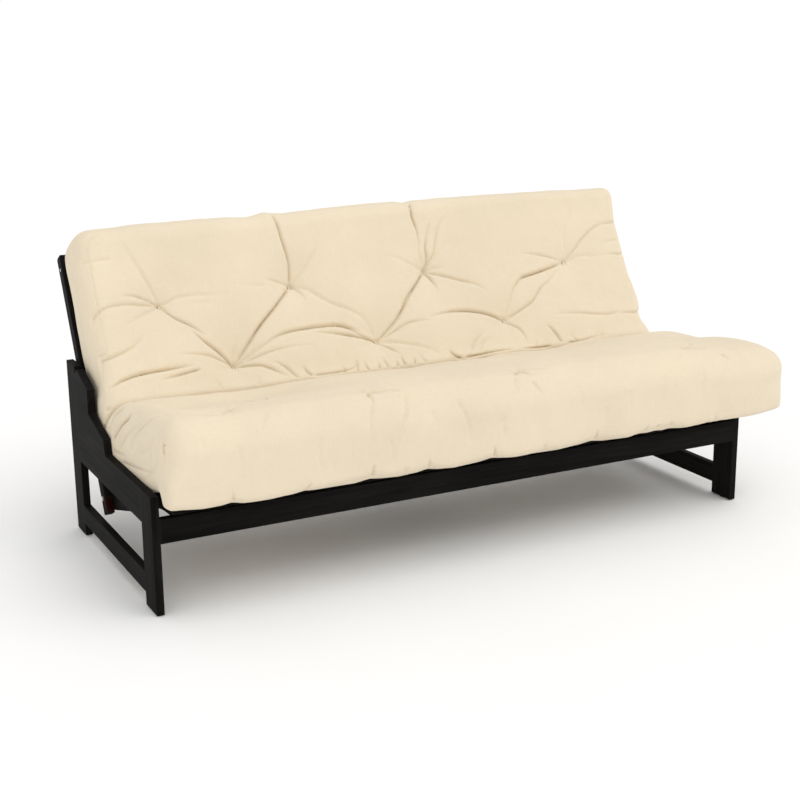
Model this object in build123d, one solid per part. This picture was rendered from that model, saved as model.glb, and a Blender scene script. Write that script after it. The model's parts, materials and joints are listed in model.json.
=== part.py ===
from build123d import *
import math
import os

# Futon sofa bed: two end panels joined by two stretchers carry a seat deck and a back deck that
# are hinged to each other and fold flat, with one full-size mattress laid over both decks.
# Drawing frame: X runs along the sofa from the left panel's outer face, Y runs rearward from the
# front legs' front faces, and Z is up from the floor.  The sofa is drawn sitting up.  On export
# everything is moved so that the origin is the middle of the whole object's footprint.

# overall sizes
frame_length = 1905.0
panel_depth = 762.0
board = 22.0
leg_width = 89.0
leg_top = 328.0
post_width = 85.0
post_top = 525.0
glide_height = 3.0
edge_radius = 2.0

# end panel
upper_board_low = 233.0
lower_rail_low = 39.0
lower_rail_high = 98.0
wing_outline = [
    (402.0, 328.0),
    (412.0, 371.0),
    (554.0, 411.0),
    (548.0, 483.0),
    (637.0, 516.0),
]
groove_depth = 11.0
groove_width = 14.0
groove_play = 0.3
mouth_low = 504.0

# stretchers
stretcher_height = 68.0
front_stretcher_top = 265.0
rear_stretcher_top = 282.0
rear_stretcher_front = 645.0

# the fold: both decks turn on one line of bolts
seat_tilt = 16.0
back_lean = 26.3
fold_y = 553.8
fold_z = 152.05
flat_height = 303.0
deck_face = 20.0
slat_thickness = 12.0

# seat deck, measured from the fold line
back_lane = 27.0
seat_lane = 51.0
seat_rail_depth = 57.0
seat_front_reach = 588.0
seat_rear_reach = 30.0
glide_pin_reach = 320.0
glide_pin_rise = 6.0
glide_pin_front = 52.0
relief_start = 556.0
relief_end = 350.0
relief_rise = 15.0
slat_setback = 2.0
seat_cross_depth = 45.0
center_rail_depth = 30.0
center_rail_width = 40.0

# back deck, measured from the fold line
back_rail_depth = 40.0
back_top_reach = 735.0
back_top_round = 12.0
back_tail_reach = 47.0
roller_reach = 264.0
back_cross_width = 57.0
back_cross_start = 60.0
back_cross_back = -14.0
wear_block_length = 40.0
wear_block_depth = 12.0
wear_block_inset = 6.0

# slats
slat_count = 10
slat_width = 76.0

# hardware
bolt_radius = 4.0
shoulder_radius = 6.0
bolt_beyond_nut = 2.0
running_play = 0.05
bolt_head_radius = 7.5
bolt_head_height = 2.5
nut_radius = 6.5
nut_height = 6.0
spacer_radius = 14.0
slider_length = 30.0
slider_thickness = 9.4
roller_thickness = 9.4
dowel_radius = 4.0
dowel_length = 50.0
lower_dowel_inset = 18.0
upper_dowel_rise = 14.0
upper_dowel_drop = 66.0
barrel_radius = 5.0
barrel_length = 17.0
stud_length = 70.0
stud_in_panel = 14.0
stud_radius = 3.0
screw_radius = 2.5
screw_length = 45.0
screw_head_radius = 5.0
screw_head_height = 3.0
floor_glide_radius = 9.0

# mattress
mattress_left = 24.4
mattress_inner_right = 1880.6
seat_overhang_right = 1975.0
back_overhang_right = 1932.0
crease = (470.0, 440.0)
mattress_above_deck = 39.0
overhang_above_deck = 31.0
overhang_depth = 150.0
overhang_start = 418.0
soft_gap = 0.4
fold_gap = 0.6

middle = frame_length / 2
deck_inner_left = seat_lane + board
back_inner_left = back_lane + board
tilt = math.radians(seat_tilt)
lean = math.radians(back_lean)


def place_seat(shape):
    """Turns a piece drawn level about the fold line to the seat's sitting tilt."""
    return Pos(0, fold_y, fold_z) * Rot(-seat_tilt, 0, 0) * shape


def place_back(shape):
    """Turns a piece drawn level about the fold line to the back's lean."""
    return Pos(0, fold_y, fold_z) * Rot(90 - back_lean, 0, 0) * shape


def seat_point(along, up, amount=0.0, fold=None):
    """The drawing (y, z) of a point on the seat; amount is 0 sitting up and 1 lying flat."""
    angle = tilt * (1 - amount)
    base = fold if fold else (fold_y, fold_z)
    return (
        base[0] + along * math.cos(angle) + up * math.sin(angle),
        base[1] - along * math.sin(angle) + up * math.cos(angle),
    )


def mirrored(shape):
    """The right-hand twin of a left-hand piece."""
    return mirror(shape, about=Plane.YZ.offset(middle))


def block(x, y, z):
    """A box from three (low, high) pairs."""
    size = Box(x[1] - x[0], y[1] - y[0], z[1] - z[0])
    return Pos((x[0] + x[1]) / 2, (y[0] + y[1]) / 2, (z[0] + z[1]) / 2) * size


def plate(points, x_low, x_high):
    """An upright plate with a (y, z) outline between two x planes."""
    face = Plane.YZ * make_face(Polyline(*points, close=True))
    return Pos(x_low, 0, 0) * extrude(face, amount=x_high - x_low)


def rod(x_low, x_high, y, z, radius):
    """A round bar along X."""
    return Pos((x_low + x_high) / 2, y, z) * Rot(0, 90, 0) * Cylinder(radius, x_high - x_low)


def rod_y(y_low, y_high, x, z, radius):
    """A round bar along Y."""
    return Pos(x, (y_low + y_high) / 2, z) * Rot(90, 0, 0) * Cylinder(radius, y_high - y_low)


def eased(shape, axis, radius=edge_radius):
    """Rounds the long edges of a board."""
    return fillet(shape.edges().filter_by(axis), radius)


def group(shapes):
    """Several separate solids kept together."""
    return Compound(children=[s for shape in shapes for s in shape.solids()])


# --- the path of the fold ---------------------------------------------------------------------


def pin_start():
    """The seat's glide pin when the sofa sits up."""
    return seat_point(-glide_pin_reach, glide_pin_rise)


def pin_end():
    """The seat's glide pin when the sofa lies flat."""
    return (glide_pin_front, flat_height + glide_pin_rise)


def fold_at(amount):
    """The fold line when the seat has come forward by this share of its travel."""
    start, end = pin_start(), pin_end()
    pin = [start[i] + amount * (end[i] - start[i]) for i in (0, 1)]
    back_to_fold = seat_point(glide_pin_reach, -glide_pin_rise, amount, pin)
    return back_to_fold


def roller_at(amount):
    """The back's roller at the same moment."""
    angle = lean + (math.pi / 2 - lean) * amount
    fold = fold_at(amount)
    return (fold[0] + roller_reach * math.sin(angle), fold[1] + roller_reach * math.cos(angle))


def seat_travel():
    """How far the glide pin slides."""
    return math.dist(pin_start(), pin_end())


# --- end panels -------------------------------------------------------------------------------


def panel_blank():
    """One end panel's outline with eased edges, before it is cut into its four boards."""
    outline = [(0, glide_height), (0, leg_top)] + wing_outline
    outline += [(panel_depth - post_width, wing_outline[-1][1])]
    outline += [(panel_depth - post_width, post_top), (panel_depth, post_top)]
    outline += [(panel_depth, glide_height), (panel_depth - post_width, glide_height)]
    outline += [(panel_depth - post_width, lower_rail_low), (leg_width, lower_rail_low)]
    outline += [(leg_width, glide_height)]
    opening_y = (leg_width, panel_depth - post_width)
    opening_z = (lower_rail_high, upper_board_low)
    blank = plate(outline, 0, board) - block((-1, board + 1), opening_y, opening_z)
    rims = blank.edges().filter_by(Axis.X, reverse=True)
    return fillet(rims, edge_radius)


def panel_grooves():
    """The straight seat groove, the curved back groove and its open mouth."""
    half = groove_width / 2
    start, end = pin_start(), pin_end()
    slope = math.atan2(end[1] - start[1], end[0] - start[0])
    reach = slider_length / 2 + 1
    over = (math.cos(slope) * reach, math.sin(slope) * reach)
    straight = Polyline(
        (start[0] - over[0], start[1] - over[1]), (end[0] + over[0], end[1] + over[1])
    )
    curve = Spline(*[roller_at(i / 8) for i in range(9)])
    top = roller_at(0)
    mouth = Polyline(top, (top[0], post_top + half))
    depth = (board - groove_depth, board + 1)
    cuts = []
    for path in (straight, curve, mouth):
        strip = Plane.YZ * trace(path, groove_width)
        cuts.append(Pos(depth[0], 0, 0) * extrude(strip, amount=depth[1] - depth[0]))
    for spot in (roller_at(0), roller_at(1)):
        cuts.append(rod(depth[0], depth[1], spot[0], spot[1], half))
    opening = (top[0] - half, panel_depth - post_width + 0.5)
    cuts.append(block((-1, board + 1), opening, (mouth_low, post_top + half)))
    return cuts


def panel_dowel_places():
    """(y, z) of the dowels that join the boards of one panel."""
    seams = (leg_width, panel_depth - post_width)
    levels = [lower_rail_low + lower_dowel_inset, lower_rail_high - lower_dowel_inset]
    levels += [upper_board_low + upper_dowel_rise, leg_top - upper_dowel_drop]
    return [(seam, level) for seam in seams for level in levels]


def panel_boards():
    """The left panel's boards: front leg, rear post, stepped side board and lower rail."""
    blank = panel_blank()
    for cut in panel_grooves():
        blank -= cut
    for y, z in panel_dowel_places():
        blank -= rod_y(y - dowel_length / 2, y + dowel_length / 2, board / 4, z, dowel_radius / 2)
    for y, z in stud_places():
        blank -= rod(board - stud_in_panel, board + 1, y, z, stud_radius)
    far = 2000.0
    rear_seam = panel_depth - post_width
    thick = (-1, board + 1)
    leg = blank & block(thick, (-1, leg_width), (-1, far))
    post = blank & block(thick, (rear_seam, far), (-1, far))
    upper = blank & block(thick, (leg_width, rear_seam), (upper_board_low - 1, far))
    lower = blank & block(thick, (leg_width, rear_seam), (-1, lower_rail_high + 1))
    return {
        "front_leg": leg,
        "rear_post": post,
        "side_board": upper,
        "lower_rail": lower,
    }


def dowel_group():
    """Dowels across the board seams, in the outer half of each panel."""
    pegs = []
    for y, z in panel_dowel_places():
        peg = rod_y(y - dowel_length / 2, y + dowel_length / 2, board / 4, z, dowel_radius / 2)
        pegs += [peg, mirrored(peg)]
    return group(pegs)


def floor_glide_group():
    """Nylon pads under the four feet."""
    pads = []
    for y in (leg_width / 2, panel_depth - post_width / 2):
        pad = Pos(board / 2, y, glide_height / 2) * Cylinder(floor_glide_radius, glide_height)
        pads += [pad, mirrored(pad)]
    return group(pads)


# --- stretchers -------------------------------------------------------------------------------


def stretcher_centers():
    """(y, z) of the two stretchers' end centres."""
    front = (board / 2, front_stretcher_top - stretcher_height / 2)
    rear = (rear_stretcher_front + board / 2, rear_stretcher_top - stretcher_height / 2)
    return [front, rear]


def stud_places():
    """(y, z) of the studs that hold the stretchers, two to each end."""
    spread = stretcher_height / 4
    return [(y, z + s) for y, z in stretcher_centers() for s in (-spread, spread)]


def stretcher(center):
    """A board on edge between the panels, bored for its studs and barrel nuts."""
    y, z = center
    span = (board, frame_length - board)
    width = (y - board / 2, y + board / 2)
    bar = eased(
        block(span, width, (z - stretcher_height / 2, z + stretcher_height / 2)), Axis.X
    )
    for stud_y, stud_z in stud_places():
        if stud_y == y:
            for shape in (stud(stud_y, stud_z), barrel(stud_y, stud_z)):
                bar -= shape
                bar -= mirrored(shape)
    return bar


def stud(y, z):
    """A threaded stud out of the panel's inner face into the stretcher's end."""
    start = board - stud_in_panel
    return rod(start, start + stud_length, y, z, stud_radius)


def barrel(y, z):
    """A cross nut near the end of the stretcher, open to the stretcher's inner side."""
    x = board + stud_length - stud_in_panel - barrel_radius * 2
    return rod_y(y + board / 2 - barrel_length, y + board / 2 - 1, x, z, barrel_radius)


def stud_group():
    """All the studs that hold the stretchers."""
    studs = [stud(y, z) for y, z in stud_places()]
    return group(studs + [mirrored(s) for s in studs])


def barrel_group():
    """All the barrel nuts, each with a hole for its stud."""
    nuts = [barrel(y, z) - stud(y, z) for y, z in stud_places()]
    return group(nuts + [mirrored(n) for n in nuts])


# --- seat deck, drawn level about the fold line -------------------------------------------------


def seat_side_rail():
    """The left seat rail, with a shallow arch underneath that clears the front stretcher."""
    low = deck_face - seat_rail_depth
    span = (seat_lane, seat_lane + board)
    rail = block(span, (-seat_front_reach, seat_rear_reach), (low, deck_face))
    rear_corners = rail.edges().filter_by(Axis.X).sort_by(Axis.Y)[-2:]
    rail = fillet(rear_corners, seat_rail_depth / 4)
    chord = Line((-relief_start, low), (-relief_end, low))
    crown = (-(relief_start + relief_end) / 2, low + relief_rise)
    arch = ThreePointArc((-relief_end, low), crown, (-relief_start, low))
    relief = extrude(Plane.YZ * make_face([chord, arch]), amount=board + 2)
    rail -= Pos(seat_lane - 1, 0, 0) * relief
    rail -= rod(span[0] - 1, span[1] + 1, 0, 0, bolt_radius)
    rail -= rod(span[0] - 1, span[1] + 1, -glide_pin_reach, glide_pin_rise, bolt_radius)
    for y in seat_screw_rows():
        rail -= rail_screw(seat_lane, y, cross_level())
    return rail


def cross_level():
    """Height of the screws in the seat's cross rails, above the fold line."""
    return deck_face - slat_thickness - seat_cross_depth / 2


def seat_screw_rows():
    """Where the seat's front and rear rails meet its side rails."""
    return [-seat_front_reach + board / 2, seat_rear_reach - board / 2]


def rail_screw(x, y, z):
    """A wood screw through a side rail into the end of a cross rail, its head sunk flush."""
    shank = rod(x, x + screw_length, y, z, screw_radius)
    return shank + rod(x, x + screw_head_height, y, z, screw_head_radius)


def seat_cross(y_center):
    """A rail between the seat's side rails, under the slats."""
    span = (deck_inner_left, frame_length - deck_inner_left)
    top = deck_face - slat_thickness
    bar = block(span, (y_center - board / 2, y_center + board / 2), (top - seat_cross_depth, top))
    bar = eased(bar, Axis.X)
    screw = rail_screw(seat_lane, y_center, cross_level())
    return bar - screw - mirrored(screw)


def seat_center():
    """The bearer under the slats' middles."""
    top = deck_face - slat_thickness
    front, rear = seat_screw_rows()
    ends = (front + board / 2, rear - board / 2)
    width = (middle - center_rail_width / 2, middle + center_rail_width / 2)
    return eased(block(width, ends, (top - center_rail_depth, top)), Axis.Y)


def slat_centers(inner):
    """Slat centres, evenly spread between two side rails."""
    pitch = (frame_length - 2 * inner) / slat_count
    return [inner + pitch * (i + 0.5) for i in range(slat_count)]


def slat(x, y_low, y_high):
    """One slat, flush with the faces of the side rails."""
    width = (x - slat_width / 2, x + slat_width / 2)
    return eased(block(width, (y_low, y_high), (deck_face - slat_thickness, deck_face)), Axis.Y)


def bolt(x_head, x_tip, y, z):
    """A flat-headed bolt along X whose head is at its low end."""
    head = rod(x_head, x_head + bolt_head_height, y, z, bolt_head_radius)
    return head + rod(x_head, x_tip, y, z, bolt_radius)


def lock_nut(x, y, z):
    """A hexagonal nut around a bolt."""
    hexagon = extrude(RegularPolygon(nut_radius / math.cos(math.pi / 6), 6), amount=nut_height)
    nut = Pos(x, y, z) * Rot(0, 90, 0) * hexagon
    return nut - rod(x - 1, x + nut_height + 1, y, z, bolt_radius)


def both(shape):
    """A left-hand piece and its right-hand twin in one group."""
    return group([shape, mirrored(shape)])


def fold_bolt():
    """The bolt that the back turns on, clamped in the seat's side rail."""
    head = back_lane - bolt_head_height - 0.3
    return bolt(head, deck_inner_left + nut_height + bolt_beyond_nut, 0, 0)


def glide_pin():
    """The pin from the seat's side rail to the slider in the panel's groove."""
    tip = board - groove_depth + 1
    end = deck_inner_left + nut_height + bolt_beyond_nut
    shaft = rod(tip, end, -glide_pin_reach, glide_pin_rise, bolt_radius)
    shoulder = rod(board + 1, seat_lane, -glide_pin_reach, glide_pin_rise, shoulder_radius)
    return shaft + shoulder


def seat_nuts():
    """The lock nuts of the fold bolts and the glide pins."""
    x = deck_inner_left
    return [lock_nut(x, 0, 0), lock_nut(x, -glide_pin_reach, glide_pin_rise)]


def spacer():
    """The washer between the back rail and the seat rail."""
    x = (back_inner_left + 0.1, seat_lane)
    return rod(x[0], x[1], 0, 0, spacer_radius) - rod(x[0] - 1, x[1] + 1, 0, 0, bolt_radius)


def slider():
    """The nylon slider in the straight groove, drawn in its sitting place."""
    start, end = pin_start(), pin_end()
    slope = math.degrees(math.atan2(end[1] - start[1], end[0] - start[0]))
    height = groove_width - 2 * groove_play
    outline = SlotOverall(slider_length, height, rotation=slope)
    low = board - groove_depth + 0.8
    body = Pos(low, 0, 0) * extrude(Plane.YZ * outline, amount=slider_thickness)
    body = Pos(0, start[0], start[1]) * body
    bore = rod(low - 1, low + slider_thickness + 1, *start, bolt_radius + running_play)
    return body - bore


# --- back deck, drawn level about the fold line --------------------------------------------------


def back_side_rail():
    """The left back rail: a long stile whose tail runs below the fold bolt."""
    span = (back_lane, back_inner_left)
    half = back_rail_depth / 2
    rail = block(span, (-back_tail_reach, back_top_reach), (-half, half))
    top_rear_corner = rail.edges().filter_by(Axis.X).group_by(Axis.Y)[-1].sort_by(Axis.Z)[0]
    rail = eased(fillet(top_rear_corner, back_top_round), Axis.Y)
    rail -= wear_block_shape(0)
    rail -= rod(span[0] - 1, span[1] + 1, 0, 0, bolt_radius + running_play)
    rail -= rod(span[0] - 1, span[1] + 1, roller_reach, 0, bolt_radius)
    for y in back_screw_rows():
        rail -= rail_screw(back_lane, y, back_cross_level())
    return rail


def wear_block_shape(ease):
    """The hardwood block let into the front of the back rail's tail."""
    half = back_rail_depth / 2
    y_low = -back_tail_reach + wear_block_inset
    y = (y_low, y_low + wear_block_length)
    shape = block((back_lane, back_inner_left), y, (half - wear_block_depth, half))
    if ease:
        top = shape.edges().filter_by(Axis.Y).sort_by(Axis.Z)[-2:]
        shape = fillet(top, ease)
    return shape


def back_cross_level():
    """Height of the back's cross rail screws, from the fold line."""
    return (back_cross_back + deck_face - slat_thickness) / 2


def back_screw_rows():
    """Where the back's bottom and top rails meet its side rails."""
    low = back_cross_start + back_cross_width / 2
    high = back_top_reach - back_cross_width / 2 - board / 2
    return [low, high]


def back_cross(y_center):
    """A flat rail between the back's side rails, behind the slats."""
    span = (back_inner_left, frame_length - back_inner_left)
    y = (y_center - back_cross_width / 2, y_center + back_cross_width / 2)
    bar = eased(block(span, y, (back_cross_back, deck_face - slat_thickness)), Axis.X)
    screw = rail_screw(back_lane, y_center, back_cross_level())
    return bar - screw - mirrored(screw)


def back_center():
    """The bearer behind the slats' middles."""
    low, high = back_screw_rows()
    ends = (low + back_cross_width / 2, high - back_cross_width / 2)
    width = (middle - center_rail_width / 2, middle + center_rail_width / 2)
    return eased(block(width, ends, (back_cross_back, deck_face - slat_thickness)), Axis.Y)


def roller_pin():
    """The pin through the back rail that carries the roller in the curved groove."""
    tip = board - groove_depth + 0.5
    shaft = rod(tip, back_inner_left + nut_height + 1, roller_reach, 0, bolt_radius)
    return shaft + rod(board + 1, back_lane, roller_reach, 0, shoulder_radius)


def roller():
    """The nylon roller in the curved groove, drawn in its sitting place."""
    y, z = roller_at(0)
    low = board - groove_depth + 0.8
    outer = rod(low, low + roller_thickness, y, z, groove_width / 2 - groove_play)
    return outer - rod(low - 1, low + roller_thickness + 1, y, z, bolt_radius + running_play)


def deck_screws(x, rows, level):
    """The screws that hold a deck's cross rails, as one left and right group."""
    screws = [rail_screw(x, y, level) for y in rows]
    return group(screws + [mirrored(s) for s in screws])


# --- mattress -----------------------------------------------------------------------------------


def fold_corner():
    """Where the two deck faces meet, in the drawing's (y, z)."""
    opening = math.pi - tilt - (math.pi / 2 - lean)
    reach = deck_face / math.sin(opening / 2)
    angle = math.pi / 2 - lean + opening / 2
    return (fold_y + reach * math.cos(angle), fold_z + reach * math.sin(angle))


def seat_half():
    """The seat half of the mattress, drooping in front of the deck's front rail."""
    corner = fold_corner()
    under_rear = seat_point(-deck_face, deck_face + soft_gap)
    under_front = seat_point(-seat_front_reach - 4, deck_face + soft_gap)
    outline = [
        under_rear,
        under_front,
        (under_front[0] - 14, 306),
        (-62, 292),
        (-82, 340),
        (-86, 400),
        (-74, 455),
        (-38, 500),
        (20, 522),
        (90, 532),
        (180, 522),
        (320, 488),
        (crease[0] - fold_gap, crease[1] - 4),
        (corner[0] - 6 - fold_gap, corner[1] + 12),
    ]
    over_panel = [
        (-62, 334),
        (-78, 400),
        (-66, 452),
        (-30, 492),
        (40, 512),
        (180, 504),
        (320, 474),
        (420, 440),
        (420, 390),
        (100, 334),
    ]
    body = plate(outline, mattress_left, mattress_inner_right)
    return body + plate(over_panel, mattress_inner_right - 1, seat_overhang_right)


def back_point(along, out):
    """The drawing (y, z) of a point on the back deck."""
    return (
        fold_y + along * math.sin(lean) - out * math.cos(lean),
        fold_z + along * math.cos(lean) + out * math.sin(lean),
    )


def back_half():
    """The back half of the mattress, standing a little above the deck's top end."""
    face = deck_face + soft_gap
    outline = [
        back_point(deck_face + 1, face),
        back_point(back_top_reach + mattress_above_deck, face),
        (862, 893),
        (830, 908),
        (790, 906),
        (748, 876),
        (700, 800),
        (606, 615),
        (530, 500),
        (crease[0] + fold_gap, crease[1] + 4),
        (fold_corner()[0] - 6 + fold_gap, fold_corner()[1] + 12),
    ]
    upper = [
        back_point(overhang_start, face),
        back_point(back_top_reach + overhang_above_deck, face),
        (850, 888),
        (800, 896),
        (756, 866),
        (706, 790),
        back_point(overhang_start, overhang_depth),
    ]
    body = plate(outline, mattress_left, mattress_inner_right)
    return body + plate(upper, mattress_inner_right - 1, back_overhang_right)


# --- the whole object -----------------------------------------------------------------------------


def frame_pieces():
    """Everything that stands still."""
    pieces = {}
    for name, shape in panel_boards().items():
        pieces["left_" + name] = shape
        pieces["right_" + name] = mirrored(shape)
    front, rear = stretcher_centers()
    pieces["front_stretcher"] = stretcher(front)
    pieces["rear_stretcher"] = stretcher(rear)
    pieces["floor_glides"] = floor_glide_group()
    pieces["panel_dowels"] = dowel_group()
    pieces["stretcher_studs"] = stud_group()
    pieces["barrel_nuts"] = barrel_group()
    return pieces


def slider_pieces():
    """The two sliders that the seat hangs on."""
    return {"left_slider": slider(), "right_slider": mirrored(slider())}


def seat_pieces():
    """The seat deck, its hardware and its half of the mattress."""
    front, rear = seat_screw_rows()
    slat_rear = seat_rear_reach - slat_setback
    level = {
        "left_seat_rail": seat_side_rail(),
        "right_seat_rail": mirrored(seat_side_rail()),
        "seat_front_rail": seat_cross(front),
        "seat_rear_rail": seat_cross(rear),
        "seat_center_rail": seat_center(),
        "seat_glide_pins": both(glide_pin()),
        "fold_bolts": both(fold_bolt()),
        "fold_spacers": both(spacer()),
        "seat_lock_nuts": group([n for nut in seat_nuts() for n in (nut, mirrored(nut))]),
        "seat_rail_screws": deck_screws(seat_lane, seat_screw_rows(), cross_level()),
    }
    for index, x in enumerate(slat_centers(deck_inner_left)):
        level[f"seat_slat_{index + 1:02d}"] = slat(x, -seat_front_reach, slat_rear)
    pieces = {name: place_seat(shape) for name, shape in level.items()}
    pieces["mattress_seat"] = seat_half()
    return pieces


def back_pieces():
    """The back deck, its hardware and its half of the mattress."""
    low, high = back_screw_rows()
    slat_ends = (low - back_cross_width / 2, high + back_cross_width / 2)
    level = {
        "left_back_rail": back_side_rail(),
        "right_back_rail": mirrored(back_side_rail()),
        "back_bottom_rail": back_cross(low),
        "back_top_rail": back_cross(high),
        "back_center_rail": back_center(),
        "wear_blocks": both(wear_block_shape(edge_radius)),
        "roller_pins": both(roller_pin()),
        "roller_lock_nuts": both(lock_nut(back_inner_left, roller_reach, 0)),
        "back_rail_screws": deck_screws(back_lane, back_screw_rows(), back_cross_level()),
    }
    for index, x in enumerate(slat_centers(back_inner_left)):
        level[f"back_slat_{index + 1:02d}"] = slat(x, *slat_ends)
    pieces = {name: place_back(shape) for name, shape in level.items()}
    pieces["mattress_back"] = back_half()
    return pieces


def roller_pieces():
    """The back deck's two rollers."""
    return {"left_back_roller": roller(), "right_back_roller": mirrored(roller())}


def bodies():
    """Every node, grouped by the body that it moves with."""
    rollers = roller_pieces()
    return {
        "frame": frame_pieces(),
        "sliders": slider_pieces(),
        "seat_deck": seat_pieces(),
        "back_deck": back_pieces(),
        "left_roller": {"left_back_roller": rollers["left_back_roller"]},
        "right_roller": {"right_back_roller": rollers["right_back_roller"]},
    }


def footprint_center():
    """The middle of the whole object's footprint, in the drawing frame."""
    rear = place_back(back_side_rail()).bounding_box().max.Y
    front = seat_half().bounding_box().min.Y
    return (seat_overhang_right / 2, (front + rear) / 2)


def main():
    os.makedirs("parts", exist_ok=True)
    center = footprint_center()
    for pieces in bodies().values():
        for name, shape in pieces.items():
            export_step(Pos(-center[0], -center[1], 0) * shape, f"parts/{name}.step")


main()
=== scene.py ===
import json
import math

import bpy
import numpy as np
from mathutils import Matrix, Vector, noise


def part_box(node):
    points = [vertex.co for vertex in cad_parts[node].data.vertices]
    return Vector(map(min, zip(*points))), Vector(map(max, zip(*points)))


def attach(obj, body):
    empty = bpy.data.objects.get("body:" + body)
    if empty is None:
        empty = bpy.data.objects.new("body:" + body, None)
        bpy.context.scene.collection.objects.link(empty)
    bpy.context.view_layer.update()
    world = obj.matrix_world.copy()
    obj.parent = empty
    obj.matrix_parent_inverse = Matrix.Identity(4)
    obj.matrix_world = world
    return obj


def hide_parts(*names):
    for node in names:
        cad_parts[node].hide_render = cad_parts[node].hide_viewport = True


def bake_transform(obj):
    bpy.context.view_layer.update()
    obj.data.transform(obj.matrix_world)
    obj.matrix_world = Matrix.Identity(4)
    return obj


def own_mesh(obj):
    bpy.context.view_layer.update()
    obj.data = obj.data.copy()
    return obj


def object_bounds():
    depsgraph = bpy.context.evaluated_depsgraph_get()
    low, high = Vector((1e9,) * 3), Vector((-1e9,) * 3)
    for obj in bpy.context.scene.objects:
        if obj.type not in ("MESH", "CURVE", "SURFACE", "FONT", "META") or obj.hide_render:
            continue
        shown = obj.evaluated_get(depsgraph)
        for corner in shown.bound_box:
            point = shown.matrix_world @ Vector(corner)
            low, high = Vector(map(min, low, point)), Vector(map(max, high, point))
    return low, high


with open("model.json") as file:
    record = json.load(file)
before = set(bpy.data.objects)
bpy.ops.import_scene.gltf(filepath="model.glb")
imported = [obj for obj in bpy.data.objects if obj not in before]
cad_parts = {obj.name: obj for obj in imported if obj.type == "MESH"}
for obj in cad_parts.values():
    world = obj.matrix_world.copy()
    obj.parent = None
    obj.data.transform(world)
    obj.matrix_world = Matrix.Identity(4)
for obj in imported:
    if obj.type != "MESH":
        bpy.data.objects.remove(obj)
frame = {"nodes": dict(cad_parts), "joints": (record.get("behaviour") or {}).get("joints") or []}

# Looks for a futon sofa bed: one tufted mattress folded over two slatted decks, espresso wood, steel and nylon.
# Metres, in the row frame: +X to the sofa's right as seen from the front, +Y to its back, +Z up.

CAD_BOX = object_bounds()
JOINTS = {j["name"]: j for j in frame["joints"]}

# ------------ the frame's own geometry

TILT = math.radians(JOINTS["seat_tilt"]["range_deg"][1])
FOLD = math.radians(JOINTS["back_fold"]["range_deg"][1])
HINGE = np.array(JOINTS["back_fold"]["pos_m"][1:])
SEAT_ALONG = np.array([math.cos(TILT), -math.sin(TILT)])
SEAT_UP = np.array([math.sin(TILT), math.cos(TILT)])
BACK_ALONG = np.array([math.cos(FOLD - TILT), math.sin(FOLD - TILT)])
BACK_UP = np.array([-math.sin(FOLD - TILT), math.cos(FOLD - TILT)])


def deck_height():
    """How far the slats' faces stand above the fold line, square to the seat deck."""
    return max((np.array(v.co[1:]) - HINGE) @ SEAT_UP for v in frame["nodes"]["seat_slat_05"].data.vertices)


REST_GAP = 0.0015
DECK = deck_height() + REST_GAP
LEFT_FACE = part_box("left_side_board")[1].x
RIGHT_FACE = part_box("right_side_board")[0].x


def on_seat(a, h):
    """(y, z) of a point a behind the fold line and h above the seat deck."""
    return HINGE + a * SEAT_ALONG + (DECK + h) * SEAT_UP


def on_back(s, h):
    """(y, z) of a point s up the back deck from the fold line and h in front of it."""
    return HINGE + s * BACK_ALONG + (DECK + h) * BACK_UP


# ------------ node helpers

def new_material(name):
    m = bpy.data.materials.new(name)
    m.use_nodes = True
    t = m.node_tree
    t.nodes.clear()
    out = t.nodes.new("ShaderNodeOutputMaterial")
    shader = t.nodes.new("ShaderNodeBsdfPrincipled")
    t.links.new(shader.outputs["BSDF"], out.inputs["Surface"])
    return m, t, shader


def put(n, **settings):
    """Sets a node's own properties, or else its inputs, named with _ for each space."""
    for k, v in settings.items():
        if hasattr(n, k):
            setattr(n, k, v)
        else:
            n.inputs[k.replace("_", " ")].default_value = v
    return n


def add(t, kind, **settings):
    return put(t.nodes.new("ShaderNode" + kind), **settings)


def link(t, a, out, b, into):
    t.links.new(a.outputs[out], b.inputs[into])


def ramp(t, source, out, stops):
    n = add(t, "ValToRGB")
    e = n.color_ramp.elements
    while len(e) < len(stops):
        e.new(0.5)
    for element, (place, colour) in zip(e, stops):
        element.position = place
        element.color = (*colour, 1) if len(colour) == 3 else colour
    link(t, source, out, n, "Fac")
    return n


def grey(v):
    return (v, v, v)


def tint(colour, k):
    return tuple(min(1.0, c * k) for c in colour)


def mix(t, fac, fac_out, a, b, mode="MIX", amount=None):
    """Colour mix of node outputs or plain colours."""
    n = add(t, "Mix", data_type="RGBA", blend_type=mode)
    for value, socket in ((a, 6), (b, 7)):
        if isinstance(value, tuple) and hasattr(value[0], "outputs"):
            t.links.new(value[0].outputs[value[1]], n.inputs[socket])
        else:
            n.inputs[socket].default_value = (*value, 1)
    if fac is None:
        n.inputs[0].default_value = amount
    else:
        link(t, fac, fac_out, n, 0)
    return n


def scaled(t, source, out, turn=(0, 0, 0), scale=(1, 1, 1)):
    n = add(t, "Mapping", Rotation=turn, Scale=scale)
    link(t, source, out, n, "Vector")
    return n


def noise_of(t, source, out, scale, detail=3.0, rough=0.5, distort=0.0):
    n = add(t, "TexNoise", Scale=scale, Detail=detail, Roughness=rough, Distortion=distort)
    link(t, source, out, n, "Vector")
    return n


def bumped(t, shader, layers):
    """Stacks bump layers of (node, output, strength, distance) and feeds the shader."""
    below = None
    for node, out, strength, distance in layers:
        n = add(t, "Bump", Strength=strength, Distance=distance)
        link(t, node, out, n, "Height")
        if below:
            link(t, below, "Normal", n, "Normal")
        below = n
    link(t, below, "Normal", shader, "Normal")


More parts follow.
